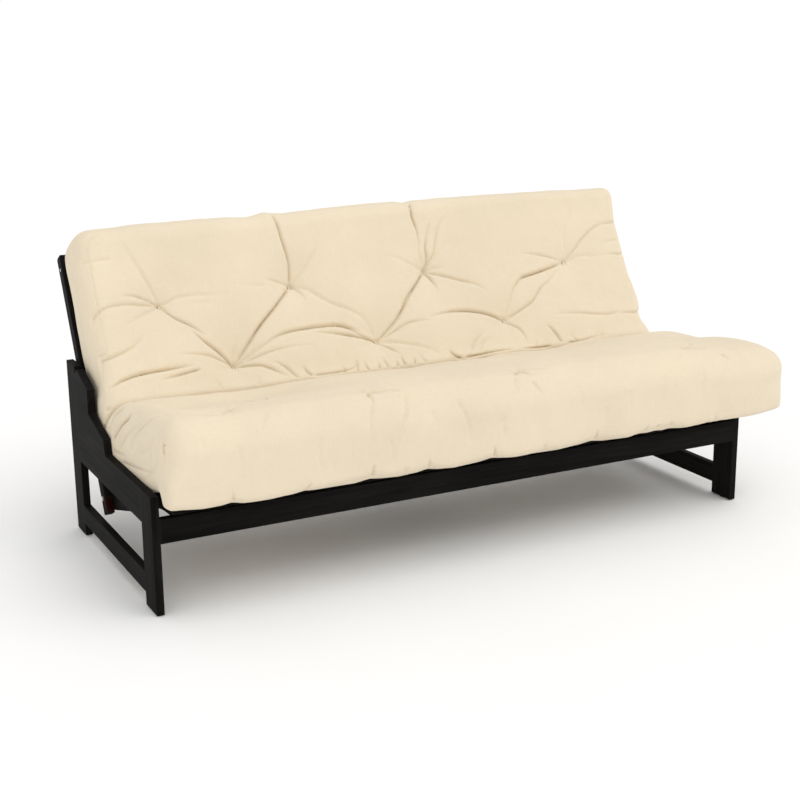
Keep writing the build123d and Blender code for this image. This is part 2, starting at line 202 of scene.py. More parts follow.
def varied_gloss(t, shader, source, out, low, high):
    """Roughness that follows a pattern from one value to another."""
    n = add(t, "MapRange", To_Min=low, To_Max=high)
    link(t, source, out, n, "Value")
    link(t, n, "Result", shader, "Roughness")


def placed(name, data):
    """A new object in the scene."""
    o = bpy.data.objects.new(name, data)
    bpy.context.scene.collection.objects.link(o)
    return o


# ------------ materials

def wood(name, along, dark, light, edge_wear_and_highlight, rough):
    """Wood with its grain running along a direction, a little paler on its edges: rubbed wear, and a painted
    highlight.
    """
    m, t, shader = new_material(name)
    where = add(t, "TexCoord")
    turn = Vector(along).rotation_difference(Vector((1, 0, 0))).to_euler()
    turned = scaled(t, where, "Object", turn=turn)
    long_way = scaled(t, turned, "Vector", scale=(0.05, 1, 1))
    figure = noise_of(t, long_way, "Vector", 38, 4, 0.55, 0.8)
    fibre = noise_of(t, long_way, "Vector", 420, 2, 0.6)
    cloud = noise_of(t, where, "Object", 3.5, 2)
    tone = ramp(t, figure, "Fac", [(0.32, dark), (0.68, light)])
    streak = ramp(t, fibre, "Fac", [(0.35, grey(0.72)), (0.62, grey(1.0))])
    body = mix(t, None, None, (tone, "Color"), (streak, "Color"), "MULTIPLY", 0.7)
    blotch = ramp(t, cloud, "Fac", [(0.35, grey(0.86)), (0.65, grey(1.1))])
    shade = mix(t, None, None, (body, 2), (blotch, "Color"), "MULTIPLY", 0.8)
    # Rubbed edges with a painted highlight: paler where a rounded normal leaves the flat one.
    rounded = add(t, "Bevel", samples=6, Radius=0.0035)
    flat = add(t, "NewGeometry")
    same = add(t, "VectorMath", operation="DOT_PRODUCT")
    link(t, rounded, "Normal", same, 0)
    link(t, flat, "Normal", same, 1)
    rub = noise_of(t, where, "Object", 60, 3)
    edge = add(t, "MapRange", From_Min=0.99, From_Max=0.80)
    link(t, same, "Value", edge, "Value")
    wear_and_highlight_mask = add(t, "Math", operation="MULTIPLY")
    link(t, edge, "Result", wear_and_highlight_mask, 0)
    link(t, rub, "Fac", wear_and_highlight_mask, 1)
    final = mix(t, wear_and_highlight_mask, "Value", (shade, 2), edge_wear_and_highlight)
    link(t, final, 2, shader, "Base Color")
    sheen = noise_of(t, long_way, "Vector", 90, 2)
    varied_gloss(t, shader, sheen, "Fac", rough - 0.06, rough + 0.10)
    put(shader, Specular_IOR_Level=0.012)
    bumped(t, shader, [(figure, "Fac", 0.10, 0.0006), (fibre, "Fac", 0.35, 0.0002)])
    return m


def steel(name, base, rough):
    """Zinc plate: fine brushed streaks, pale spangle and dull handling marks."""
    m, t, shader = new_material(name)
    where = add(t, "TexCoord")
    brushed = noise_of(t, scaled(t, where, "Object", scale=(0.1, 1, 1)), "Vector", 900, 2)
    spangle = add(t, "TexVoronoi", Scale=260)
    link(t, where, "Object", spangle, "Vector")
    tone = ramp(t, spangle, "Distance", [(0.0, tint(base, 0.8)), (0.7, tint(base, 1.2))])
    link(t, tone, "Color", shader, "Base Color")
    put(shader, Metallic=1.0)
    marks = noise_of(t, where, "Object", 70, 3)
    varied_gloss(t, shader, marks, "Fac", rough - 0.1, rough + 0.15)
    bumped(t, shader, [(brushed, "Fac", 0.2, 0.0001)])
    return m


def moulded(name, base, rough):
    """Black nylon: a fine spark-eroded skin, faint flow marks and scuffs."""
    m, t, shader = new_material(name)
    where = add(t, "TexCoord")
    skin = noise_of(t, where, "Object", 1500, 2)
    flow = noise_of(t, where, "Object", 45, 3, 0.5, 1.0)
    tone = ramp(t, flow, "Fac", [(0.3, tint(base, 0.75)), (0.75, tint(base, 1.5))])
    link(t, tone, "Color", shader, "Base Color")
    varied_gloss(t, shader, flow, "Fac", rough - 0.08, rough + 0.12)
    bumped(t, shader, [(skin, "Fac", 0.25, 0.0001)])
    return m


def twill(name, base):
    """Unbleached cotton twill: diagonal ribs, slubs in both yarn directions, soft blotches, and painted shade
    darkening its creases.
    """
    m, t, shader = new_material(name)
    uv = add(t, "UVMap", uv_map="cloth")
    where = add(t, "TexCoord")
    cloud = noise_of(t, where, "Object", 5, 3)
    fleck = noise_of(t, where, "Object", 260, 2, 0.6)
    warp = noise_of(t, scaled(t, uv, "UV", scale=(1, 0.06, 1)), "Vector", 700, 2, 0.6)
    weft = noise_of(t, scaled(t, uv, "UV", scale=(0.06, 1, 1)), "Vector", 620, 2, 0.6)
    slub = mix(t, None, None, (warp, "Color"), (weft, "Color"), "MIX", 0.5)
    rib = add(t, "TexWave", wave_type="BANDS", bands_direction="DIAGONAL", Scale=160, Distortion=0.6, Detail=1.0)
    link(t, uv, "UV", rib, "Vector")
    tone = ramp(t, cloud, "Fac", [(0.3, tint(base, 0.965)), (0.7, tint(base, 1.02))])
    thread = ramp(t, slub, 2, [(0.38, grey(0.93)), (0.62, grey(1.03))])
    woven = mix(t, None, None, (tone, "Color"), (thread, "Color"), "MULTIPLY", 0.6)
    speck = ramp(t, fleck, "Fac", [(0.28, (0.86, 0.82, 0.74)), (0.42, grey(1.0))])
    dusted = mix(t, None, None, (woven, 2), (speck, "Color"), "MULTIPLY", 0.35)
    # Painted shade: the colour darkens towards (0.60, 0.52, 0.37) in creases, tuft pits and along the seam.
    fold = add(t, "Attribute", attribute_name="painted_crease_shade")
    deep = mix(t, fold, "Fac", (dusted, 2), (0.60, 0.52, 0.37))
    link(t, deep, 2, shader, "Base Color")
    gloss = ramp(t, slub, 2, [(0.3, grey(0.82)), (0.7, grey(0.96))])
    link(t, gloss, "Color", shader, "Roughness")
    put(shader, Specular_IOR_Level=0.25, Sheen_Weight=0.12, Sheen_Roughness=0.5)
    soft = noise_of(t, where, "Object", 26, 3, 0.55)
    bumped(t, shader, [(soft, "Fac", 0.25, 0.004), (slub, 2, 0.35, 0.0006),
                       (rib, "Fac", 0.30, 0.0003)])
    return m


def yarn(name, base):
    """Bleached cotton yarn: two-ply twist, fuzz and slight soiling."""
    m, t, shader = new_material(name)
    where = add(t, "TexCoord")
    twist = add(t, "TexWave", wave_type="BANDS", bands_direction="DIAGONAL", Scale=900, Distortion=1.5)
    link(t, where, "Object", twist, "Vector")
    fuzz = noise_of(t, where, "Object", 1800, 2)
    tone = ramp(t, twist, "Fac", [(0.2, tint(base, 0.88)), (0.7, base)])
    soiled = mix(t, fuzz, "Fac", (tone, "Color"), tint(base, 0.92))
    link(t, soiled, 2, shader, "Base Color")
    gloss = ramp(t, fuzz, "Fac", [(0.3, grey(0.8)), (0.7, grey(0.95))])
    link(t, gloss, "Color", shader, "Roughness")
    bumped(t, shader, [(twist, "Fac", 0.5, 0.0003), (fuzz, "Fac", 0.3, 0.0002)])
    return m


# The third colour of each wood is its paler edge colour, partly rubbed wear and partly painted highlight.
ESPRESSO = (0.0075, 0.0070, 0.0068), (0.0150, 0.0138, 0.0132), (0.045, 0.039, 0.035)   # dark, light, worn
SATIN = (0.006, 0.005, 0.0045), (0.014, 0.0115, 0.010), (0.06, 0.048, 0.04)
CREAM = (0.80, 0.692, 0.522)


def espresso(suffix, along):
    return wood("espresso_" + suffix, along, *ESPRESSO, 0.48)


def satin(suffix, along):
    return wood("stained_slat_" + suffix, along, *SATIN, 0.5)


def direction(y, z):
    return (0, float(y), float(z))


WOODS = {
    "espresso": {"x": espresso("x", (1, 0, 0)), "y": espresso("y", (0, 1, 0)), "z": espresso("z", (0, 0, 1)),
                 "seat": espresso("seat", direction(*SEAT_ALONG)), "back": espresso("back", direction(*BACK_ALONG))},
    "slat": {"seat": satin("seat", direction(*SEAT_ALONG)), "back": satin("back", direction(*BACK_ALONG))},
    "wear": wood("reddish_hardwood", direction(*BACK_ALONG), (0.015, 0.004, 0.0033), (0.032, 0.008, 0.006),
                 (0.09, 0.035, 0.022), 0.45),
    "dowel": wood("beech", (0, 1, 0), (0.42, 0.27, 0.15), (0.62, 0.44, 0.27), (0.70, 0.55, 0.38), 0.6),
}
ZINC = steel("zinc_plate", (0.50, 0.50, 0.48), 0.36)
NYLON = moulded("black_nylon", (0.026, 0.026, 0.027), 0.5)
COTTON = twill("cotton_twill", CREAM)
YARN = yarn("tuft_yarn", (0.96, 0.92, 0.83))


def node_material(node):
    """The finish of a CAD node, by what it is and which way its grain runs."""
    espresso_set, slats = WOODS["espresso"], WOODS["slat"]
    if node == "panel_dowels":
        return WOODS["dowel"]
    if node == "wear_blocks":
        return WOODS["wear"]
    if any(w in node for w in ("glides", "slider", "roller", "spacer")) and not any(
            w in node for w in ("pins", "nuts")):
        return NYLON
    if any(w in node for w in ("studs", "nuts", "bolts", "pins", "screws")):
        return ZINC
    if "slat" in node:
        return slats["back" if "back" in node else "seat"]
    if "front_leg" in node or "rear_post" in node:
        return espresso_set["z"]
    if "side_board" in node or "lower_rail" in node:
        return espresso_set["y"]
    if "stretcher" in node or node in ("seat_front_rail", "seat_rear_rail", "back_bottom_rail", "back_top_rail"):
        return espresso_set["x"]
    return espresso_set["back" if "back" in node else "seat"]


for node_name, node_object in frame["nodes"].items():
    node_object.data.materials.clear()
    node_object.data.materials.append(node_material(node_name))
    for polygon in node_object.data.polygons:
        polygon.material_index = 0

# ------------ the mattress: a boxed pad folded in an L

LEFT_END = LEFT_FACE + 0.002
FULL_END = 0.950          # nominal right end, before it is fitted round the right panel
END_SPLIT = 0.800         # where the right end is cut into pieces of its own
CREASE = np.array([0.066, 0.440])
SLIT_DEPTH = 0.094
CELL = 0.0090

fold_corner = HINGE + DECK / math.cos(FOLD / 2) * (SEAT_UP + BACK_UP) / np.linalg.norm(SEAT_UP + BACK_UP)
MITRE_DOWN = (fold_corner - CREASE) / np.linalg.norm(fold_corner - CREASE)
MITRE_ACROSS = np.array([-MITRE_DOWN[1], MITRE_DOWN[0]])


def in_crease(across, down):
    return CREASE + across * MITRE_ACROSS + down * MITRE_DOWN


def under_fold(across):
    """On the deck faces near the fold corner, a signed distance across the mitre."""
    if across < 0:
        return fold_corner + across / (SEAT_ALONG @ MITRE_ACROSS) * SEAT_ALONG
    return fold_corner + across / (BACK_ALONG @ MITRE_ACROSS) * BACK_ALONG


# Each station is a point of the upper cover and the point of the lower cover under it.
STATIONS = [
    (on_seat(-0.722, 0.152), on_seat(-0.647, -0.068)),
    (on_seat(-0.687, 0.176), on_seat(-0.609, -0.054)),
    (on_seat(-0.654, 0.191), on_seat(-0.595, -0.018)),
    (on_seat(-0.619, 0.204), on_seat(-0.578, 0.0)),
    (on_seat(-0.552, 0.221), on_seat(-0.500, 0.0)),
    (on_seat(-0.462, 0.235), on_seat(-0.410, 0.0)),
    (on_seat(-0.335, 0.242), on_seat(-0.280, 0.0)),
    (on_seat(-0.242, 0.243), on_seat(-0.160, 0.0)),
    (in_crease(-0.0253, -0.0247), under_fold(-0.050)),
    (in_crease(-0.0135, -0.0080), under_fold(-0.016)),
    (in_crease(-0.0085, 0.012), under_fold(-0.0095)),
    (in_crease(-0.0045, 0.055), under_fold(-0.005)),
    (in_crease(-0.0010, SLIT_DEPTH), under_fold(-0.001)),
    (in_crease(0.0010, SLIT_DEPTH), under_fold(0.001)),
    (in_crease(0.0045, 0.055), under_fold(0.005)),
    (in_crease(0.0085, 0.012), under_fold(0.0095)),
    (in_crease(0.0150, -0.0080), under_fold(0.016)),
    (on_back(0.266, 0.167), on_back(0.080, 0.0)),
    (on_back(0.310, 0.161), on_back(0.150, 0.0)),
    (on_back(0.380, 0.153), on_back(0.270, 0.0)),
    (on_back(0.460, 0.149), on_back(0.390, 0.0)),
    (on_back(0.560, 0.148), on_back(0.530, 0.0)),
    (on_back(0.660, 0.150), on_back(0.650, 0.0)),
    (on_back(0.730, 0.155), on_back(0.725, 0.0)),
    (on_back(0.785, 0.165), on_back(0.785, 0.0)),
]
BACK_MOUTH = 15            # the station where the back's own length starts


def spline(points, at):
    """Catmull-Rom through points, by point number, with tangents scaled to the uneven spacing."""
    p = np.array(points)
    gap = np.linalg.norm(np.diff(p, axis=0), axis=1)
    knots = np.concatenate([[0], np.cumsum(np.maximum(gap, 1e-6))])
    slope = np.zeros_like(p)
    for i in range(len(p)):
        lo, hi = max(i - 1, 0), min(i + 1, len(p) - 1)
        slope[i] = (p[hi] - p[lo]) / (knots[hi] - knots[lo])
    i = np.clip(np.floor(at).astype(int), 0, len(p) - 2)
    u = (at - i)[:, None]
    w = (knots[i + 1] - knots[i])[:, None]
    return ((2 * u ** 3 - 3 * u ** 2 + 1) * p[i] + (u ** 3 - 2 * u ** 2 + u) * w * slope[i]
            + (3 * u ** 2 - 2 * u ** 3) * p[i + 1] + (u ** 3 - u ** 2) * w * slope[i + 1])


FINE = np.linspace(0, len(STATIONS) - 1, 6001)
UPPER = spline([a for a, b in STATIONS], FINE)
LOWER = spline([b for a, b in STATIONS], FINE)
RUN = np.concatenate([[0], np.cumsum(np.linalg.norm(np.diff(UPPER, axis=0), axis=1))])
LENGTH = RUN[-1]
THICK = np.linalg.norm(UPPER - LOWER, axis=1)


def at_run(table, v):
    if table.ndim == 1:
        return np.interp(v, RUN, table)
    return np.stack([np.interp(v, RUN, table[:, 0]), np.interp(v, RUN, table[:, 1])], -1)


def run_of_station(i):
    return float(np.interp(i, FINE, RUN))


def smooth(x, lo, hi):
    t = np.clip((x - lo) / (hi - lo), 0, 1)
    return t * t * (3 - 2 * t)


def panel_profile():
    """The right panel's top line, as (y, top z) every few millimetres, read off its boards."""
    boards = [frame["nodes"][n] for n in ("right_side_board", "right_front_leg", "right_rear_post")]
    x = (RIGHT_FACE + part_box("right_side_board")[1].x) / 2
    found = []
    for y in np.arange(CAD_BOX[0].y, CAD_BOX[1].y, 0.004):
        tops = [b.ray_cast(Vector((x, y, 2)), Vector((0, 0, -1))) for b in boards]
        tops = [hit[1].z for hit in tops if hit[0]]
        if tops:
            found.append((y, max(tops)))
    return np.array(found)


PANEL = panel_profile()


def clearance(yz):
    """How far each (y, z) stands clear of the right panel's side view; 0 beside it."""
    best = np.full(len(yz), 9.0)
    for y, top in PANEL:
        best = np.minimum(best, np.hypot(yz[:, 0] - y, np.maximum(0, yz[:, 1] - top)))
    return best


def right_end(v, yz):
    """The x of the mattress's right end: inside the panel beside it, draped out over it above."""
    inside = RIGHT_FACE - 0.004
    full = np.interp(v, [0, 0.25, 0.50, 0.56, 0.63, 0.71, 0.752, 0.80, 0.84, 1.0, 1.2, LENGTH],
                     [1.053, 1.042, 1.0, 0.970, inside, inside, 0.930, 0.966, 0.965, 0.945, 0.942, 0.950])
    out = np.clip((clearance(yz) - 0.005) / 0.055, 0, 1)
    return inside + (full - inside) * np.sqrt(1 - (1 - out) ** 2)


ROUND_TOP, ROUND_LOW = 0.082, 0.032


def rounding(x, v, h):
    """Corner radii of the pad along x and along its run, which differ from end to end."""
    right, back = smooth(x, -0.2, 0.7), smooth(v, LENGTH * 0.55, LENGTH * 0.75)
    low_front = smooth(-v, -0.40, -0.10) * smooth(-h, -0.60, -0.15)
    left_x = 0.056 + 0.010 * back - 0.042 * low_front
    right_x = 0.074 - 0.030 * back - 0.026 * low_front
    round_v = 0.074 - back * (0.006 + 0.020 * right) - 0.058 * low_front * smooth(-x, 0.76, 0.90)
    return left_x + (right_x - left_x) * right, round_v


# How the seat's top dips along the crease, (x, mm down), x in mm here and below.
CREST_LINE = [(-960, 0), (-400, 1), (-200, 3), (-120, 7), (-70, 11), (0, 6), (60, 6), (120, 9), (180, 14),
              (230, 10), (290, 2), (330, 2), (370, 7), (450, 8), (510, 6), (570, -2), (700, 1), (950, 1)]
# How the back's top edge rises and falls from its nominal height, (x, mm).
TOP_LINE = [(-960, -10), (-830, -9), (-660, -6), (-550, -3), (-400, -10), (-345, 3), (-280, -5), (-110, 1), (20, 6),
            (110, 4), (140, -3), (170, 2), (410, 2), (600, 1), (800, -7), (950, -8)]
# How far the lower front edge rises at its notches and sags between them, (x, mm).
HEM_LINE = [(-960, 22), (-930, 20), (-870, 12), (-820, 8), (-790, 10), (-760, 0), (-690, -4), (-620, 0), (-590, 5),
            (-560, 1), (-440, 0), (-396, 7), (-360, 1), (-310, -3), (-250, 1), (-220, 7), (-190, 0), (-140, -5),
            (-60, 0), (-16, 7), (20, 0), (200, -5), (280, 1), (320, 7), (360, 0), (440, -4), (490, 3), (520, 1),
            (550, 4), (575, 1), (600, 4), (650, -3), (720, 4), (780, 6), (850, 8), (950, 12)]
LEFT_INSET = 0.009
SEAT_HOLLOW = 0.032       # how far the seat's top sinks behind its front roll, left of the middle


def line_at(x, line):
    """Metres up a line of (x, height) points in millimetres."""
    return np.interp(x * 1000, *np.array(line).T) / 1000


def uneven(x, v, h, yz):
    """Sets the back's left end in a little, and bends its top edge, the crease, the seat's top and the lower edge."""
    back = smooth(v, run_of_station(BACK_MOUTH) + 0.02, run_of_station(BACK_MOUTH) + 0.16)
    x = x + LEFT_INSET * back * smooth(-x, -(LEFT_END + 0.30), -LEFT_END)
    rise = line_at(x, TOP_LINE) * smooth(v, LENGTH - 0.20, LENGTH - 0.03)
    hollow = SEAT_HOLLOW * smooth(-x, 0.36, 0.64) * smooth(x, -0.95, -0.84)
    hollow = hollow * smooth(v, 0.11, 0.27) * smooth(-v, -0.52, -0.36)
    dip = line_at(x, CREST_LINE) * smooth(v, 0.22, 0.42) + hollow
    dip = dip * smooth(-v, -run_of_station(12), -run_of_station(8.5))
    hem = line_at(x, HEM_LINE) * smooth(-v, -0.10, 0) * smooth(-h, -0.75, -0.1)
    return x, yz + rise[:, None] * BACK_ALONG - dip[:, None] * SEAT_UP + np.column_stack([0 * hem, hem])


def solid_point(x, v, h):
    """Maps box coordinates (x, run, share of thickness) to the folded, rounded pad."""
    thick = at_run(THICK, v)
    top, low = np.minimum(ROUND_TOP, thick * 0.5), np.minimum(ROUND_LOW, thick * 0.3)
    q = np.stack([x, v, h * thick], -1)
    round_x, round_v = rounding(x, v, h)
    low = low * (1 - 0.55 * smooth(np.where(x > 0, x, -x - 0.05), 0.55, 0.90) * smooth(-v, -0.40, -0.15))
    lo = np.stack([LEFT_END + round_x, round_v, low], -1)
    hi = np.stack([FULL_END - round_x, LENGTH - round_v, thick - top], -1)
    core = np.clip(q, lo, hi)
    radius = np.stack([round_x, round_v, np.where(q[:, 2] > core[:, 2], top, low)], -1)
    d = (q - core) / radius
    two = np.linalg.norm(d, axis=1)
    share = np.where(two > 1e-9, np.abs(d).max(1) / np.maximum(two, 1e-9), 1.0)
    q = core + d * share[:, None] * radius
    sag = 1 - 0.16 * smooth(q[:, 0], 0.62, FULL_END) * smooth(-q[:, 1], -0.50, -0.30)
    yz = at_run(LOWER, q[:, 1]) + (at_run(UPPER, q[:, 1]) - at_run(LOWER, q[:, 1])) * (q[:, 2] / thick * sag)[:, None]
    ratio = (right_end(q[:, 1], yz) - END_SPLIT) / (FULL_END - END_SPLIT)
    xx = np.where(q[:, 0] > END_SPLIT, END_SPLIT + (q[:, 0] - END_SPLIT) * ratio, q[:, 0])
    xx, yz = uneven(xx, q[:, 1], h, yz)
    return np.column_stack([xx, yz])


def lattice():
    """Line positions of the box lattice in x, run and thickness; the cut lines fall on lattice lines."""
    left = np.linspace(LEFT_END, END_SPLIT, int(round((END_SPLIT - LEFT_END) / CELL)) + 1)
    right = np.linspace(END_SPLIT, FULL_END, int(round((FULL_END - END_SPLIT) / CELL * 1.4)) + 1)
    mouth = run_of_station(BACK_MOUTH)
    seat = np.linspace(0, mouth, int(round(mouth / CELL)) + 1)
    back = np.linspace(mouth, LENGTH, int(round((LENGTH - mouth) / CELL)) + 1)
    up = np.linspace(0, 1, int(round(0.2 / CELL)) + 1)
    return np.concatenate([left, right[1:]]), np.concatenate([seat, back[1:]]), up, len(left) - 1, len(seat) - 1


XS, VS, HS, CUT_I, CUT_J = lattice()
NI, NJ, NK = len(XS) - 1, len(VS) - 1, len(HS) - 1
index = np.full((NI + 1, NJ + 1, NK + 1), -1, np.int32)
shell = np.zeros(index.shape, bool)
shell[[0, NI]] = True
shell[:, [0, NJ]] = True
shell[:, :, [0, NK]] = True
wanted = shell.copy()
wanted[CUT_I] = True
wanted[CUT_I:, CUT_J] = True
index[wanted] = np.arange(wanted.sum())
I, J, K = np.nonzero(wanted)
BOX = np.column_stack([XS[I], VS[J], HS[K]])
REST = LATTICE = solid_point(*BOX.T)
TOP, FRONT, SIDE, LOW, INNER = range(5)


def grid_faces(plane, flip):
    """Quads of a 2-D slice of the index array."""
    a, b, c, d = plane[:-1, :-1], plane[1:, :-1], plane[1:, 1:], plane[:-1, 1:]
    quads = np.stack([a, b, c, d], -1).reshape(-1, 4)
    return quads[:, ::-1] if flip else quads


def low_lines(j0, j1):
    """The run lines kept on the flat lower cover: all of them round the fold and the ends, few elsewhere."""
    bent = run_of_station(7.3), run_of_station(17.2)
    kept = [j for j in range(j0, j1 + 1) if j in (j0, j1, CUT_J) or VS[j] < 0.1 or VS[j] > LENGTH - 0.1
            or bent[0] < VS[j] < bent[1] or j % 7 == 0]
    return list(zip(kept, kept[1:]))


def low_faces(i0, i1, j0, j1):
    """The lower cover in long strips, still joined to every corner along its rim."""
    base = index[:, :, 0]
    out = []
    for i in range(i0, i1):
        for a, b in low_lines(j0, j1):
            left = list(range(a, b + 1)) if i == i0 else [a, b]
            right = list(range(a, b + 1)) if i == i1 - 1 else [a, b]
            out.append([int(base[i, j]) for j in left] + [int(base[i + 1, j]) for j in right[::-1]])
    return out


def block_faces(i0, i1, j0, j1):
    """(group, faces) of the six sides of a block of the lattice, facing outwards."""
    block = index[i0:i1 + 1, j0:j1 + 1]
    return [(TOP, grid_faces(block[:, :, -1], False).tolist()), (LOW, low_faces(i0, i1, j0, j1)),
            (SIDE if i0 == 0 else INNER, grid_faces(block[0], True).tolist()),
            (SIDE if i1 == NI else INNER, grid_faces(block[-1], False).tolist()),
            (FRONT if j0 == 0 else INNER, grid_faces(block[:, 0], False).tolist()),
            (FRONT if j1 == NJ else INNER, grid_faces(block[:, -1], True).tolist())]


POLYS, GROUP, OWNER = [], [], []
for owner, block in enumerate(((0, CUT_I, 0, NJ), (CUT_I, NI, 0, CUT_J), (CUT_I, NI, CUT_J, NJ))):
    for group, faces in block_faces(*block):
        POLYS += faces
        GROUP += [group] * len(faces)
        OWNER += [owner] * len(faces)

# ------------ tufts, pleats and folds

# All in millimetres. Tufts on the back, (x, z): an upper row of four, and a lower row of three between them.
UPPER_ROW = [(-729, 689), (-309, 706), (157, 710), (690, 694)]
LOWER_ROW = [(-543, 509), (-65, 527), (403, 541)]
# Tufts on the seat, (x, y): one row near the front edge, another nearer the crease.
SEAT_FRONT_ROW = [(-775, -405), (-365, -415), (95, -415), (700, -395)]
SEAT_REAR_ROW = [(-570, -205), (-130, -205), (340, -205)]

U0, U1, U2, U3 = UPPER_ROW
L0, L1, L2 = LOWER_ROW
S0, S1, S2, S3 = SEAT_FRONT_ROW

# Pleats: (points, crease depth, valley depth). The first point is the deep end.
BACK_PLEATS = [
    ([U1, (-303, 768), (-309, 815), (-318, 860), (-325, 915)], 7, 7),
    ([(-326, 915), (-318, 875), (-308, 800)], 6, 4), ([U1, (-372, 655), (-443, 600), (-485, 560), L0], 7, 10),
    ([L0, (-443, 600), (-372, 655), U1], 5, 4), ([U1, (-284, 687), (-270, 660)], 6, 3),
    ([U1, (-260, 692), (-196, 647), (-130, 616), (-90, 585), L1], 3, 8),
    ([U1, (-262, 743), (-232, 775), (-203, 805), (-198, 840)], 2, 5), ([U1, (-355, 723), (-395, 731)], 4, 4),
    ([(-395, 714), (-490, 720)], 1, 4), ([U0, (-751, 745), (-788, 818), (-818, 875)], 3, 7),
    ([U0, (-773, 710), (-807, 721), (-852, 724)], 5, 4),
    ([U0, (-790, 696), (-835, 700), (-893, 694), (-925, 675), (-955, 635)], 4, 7),
    ([U0, (-781, 670), (-814, 658), (-852, 640)], 3, 4),
    ([U0, (-681, 704), (-635, 707), (-577, 702), (-515, 697)], 2, 6), ([(-634, 686), (-560, 683)], 1, 3),
    ([U0, (-695, 654), (-660, 632), (-632, 612), (-609, 590)], 7, 7),
    ([L0, (-580, 548), (-612, 574), (-637, 598), (-653, 618)], 8, 7),
    ([L0, (-580, 528), (-616, 543), (-664, 551), (-715, 554)], 5, 5), ([L0, (-538, 543), (-526, 565)], 3, 3),
    ([L0, (-478, 536), (-420, 558), (-350, 578)], 3, 7),
    ([(-200, 583), (-283, 583), (-351, 579), (-395, 570), (-430, 556)], 8, 9),
    ([(-215, 583), (-177, 579), (-149, 568), (-120, 549), L1], 7, 6),
    ([L0, (-461, 526), (-415, 534), (-366, 538), (-285, 538)], 4, 6),
    ([L1, (-113, 541), (-160, 551), (-216, 562), (-268, 570)], 9, 5),
    ([L0, (-468, 502), (-437, 489), (-413, 475), (-388, 460)], 7, 6),
    ([(-362, 455), (-388, 484), (-422, 506)], 6, 5), ([(-318, 456), (-327, 466), (-340, 482)], 8, 4),
    ([(-310, 455), (-270, 455), (-230, 456), (-183, 461), (-150, 474)], 7, 4),
    ([(-830, 515), (-778, 518), (-731, 520), (-665, 521)], 9, 10),
    ([(-820, 516), (-860, 510), (-900, 500), (-940, 480)], 9, 9), ([(-655, 509), (-709, 502), (-785, 492)], 8, 4),
    ([(-956, 520), (-935, 552), (-905, 564), (-862, 576), (-825, 592), (-793, 620)], 5, 8),
    ([(-850, 826), (-905, 821), (-940, 810), (-955, 785)], 2, 5),
    ([(-958, 615), (-945, 650), (-922, 678), (-893, 695)], 3, 7), ([(-960, 535), (-945, 560), (-915, 575)], 5, 6),
    ([(-957, 500), (-945, 530), (-940, 552)], 6, 5), ([(149, 915), (145, 876), (153, 837), (155, 790)], 9, 6),
    ([(154, 800), (151, 750), U2], 2, 5), ([U2, (174, 742), (176, 781), (188, 815), (209, 865)], 6, 6),
    ([U2, (200, 757), (214, 795), (236, 838), (270, 870)], 4, 6), ([U2, (197, 716), (235, 714)], 3, 3),
    ([U2, (212, 751), (252, 787)], 1, 4), ([U2, (175, 679), (188, 645)], 7, 4),
    ([U2, (227, 685), (280, 667), (319, 655), (365, 630)], 5, 7), ([U2, (108, 735), (67, 756), (15, 767)], 2, 5),
    ([U2, (107, 666), (70, 636), (44, 605), (5, 571), L1], 7, 10),
    ([L1, (5, 571), (44, 605), (107, 666), U2], 5, 4), ([(-195, 583), (-150, 571), (-113, 555)], 4, 4),
    ([L1, (6, 549), (52, 564), (97, 567), (138, 565)], 4, 6),
    ([L2, (361, 559), (316, 571), (266, 579), (220, 582), (174, 580), (120, 572)], 10, 9),
    ([L1, (-15, 519), (29, 508), (75, 495), (110, 480), (136, 460)], 3, 6), ([L1, (-27, 500), (-5, 482)], 5, 3),
    ([(500, 658), (561, 668), (617, 679), U3], 7, 5),
    ([U3, (617, 679), (561, 668), (502, 657), (472, 637), (450, 614), (434, 586), L2], 5, 8),
    ([L2, (475, 565), (522, 585), (566, 620), (607, 642), U3], 5, 8),
    ([L2, (444, 513), (456, 488), (452, 463)], 5, 5), ([U3, (626, 713), (568, 725), (508, 732)], 4, 5),
    ([U3, (697, 744), (710, 790), (738, 834), (763, 868)], 1, 5),
    ([U3, (735, 728), (773, 758), (823, 787), (869, 799), (910, 797)], 4, 8),
    ([(950, 792), (925, 797), (890, 799), (850, 795)], 4, 5), ([U3, (750, 707), (799, 702), (850, 700)], 2, 6),
    ([(950, 690), (925, 695), (890, 699), (835, 702)], 5, 5), ([(910, 742), (865, 741), (815, 728)], 2, 4),
    ([(950, 505), (915, 512), (860, 517), (825, 521)], 5, 5),
    ([(830, 520), (788, 519), (744, 524), (689, 533), (626, 538), (562, 539)], 4, 6),
    ([(578, 457), (571, 479), (559, 498), (545, 510)], 8, 5), ([(195, 447), (177, 458), (160, 474)], 14, 8),
    ([(237, 460), (269, 491), (322, 520)], 3, 6), ([(265, 458), (300, 485), (345, 500)], 2, 4),
    ([(210, 448), (260, 451), (300, 455), (354, 457), (405, 456)], 10, 4),
    ([(530, 448), (480, 449), (423, 455)], 8, 4), ([(600, 452), (650, 453), (700, 459), (760, 462)], 6, 4),
]
# Gathers where the cover is drawn into the crease: (x, lean, height, depth).
CREASE_HEIGHT = 448
CREASE_PUCKERS = [([(x, CREASE_HEIGHT), (x + lean, CREASE_HEIGHT + tall)], deep, 3) for x, lean, tall, deep in (
    (-600, -15, 35, 3), (-490, 10, 30, 3),
    (-205, -6, 24, 5), (-165, 8, 35, 6), (-128, -5, 26, 6), (-90, 4, 22, 7),
    (-58, -8, 34, 6), (-28, 4, 20, 7), (0, -6, 30, 7), (32, 6, 22, 6),
    (70, -12, 30, 4), (480, 8, 24, 4), (640, -20, 30, 4), (730, 18, 24, 3))]
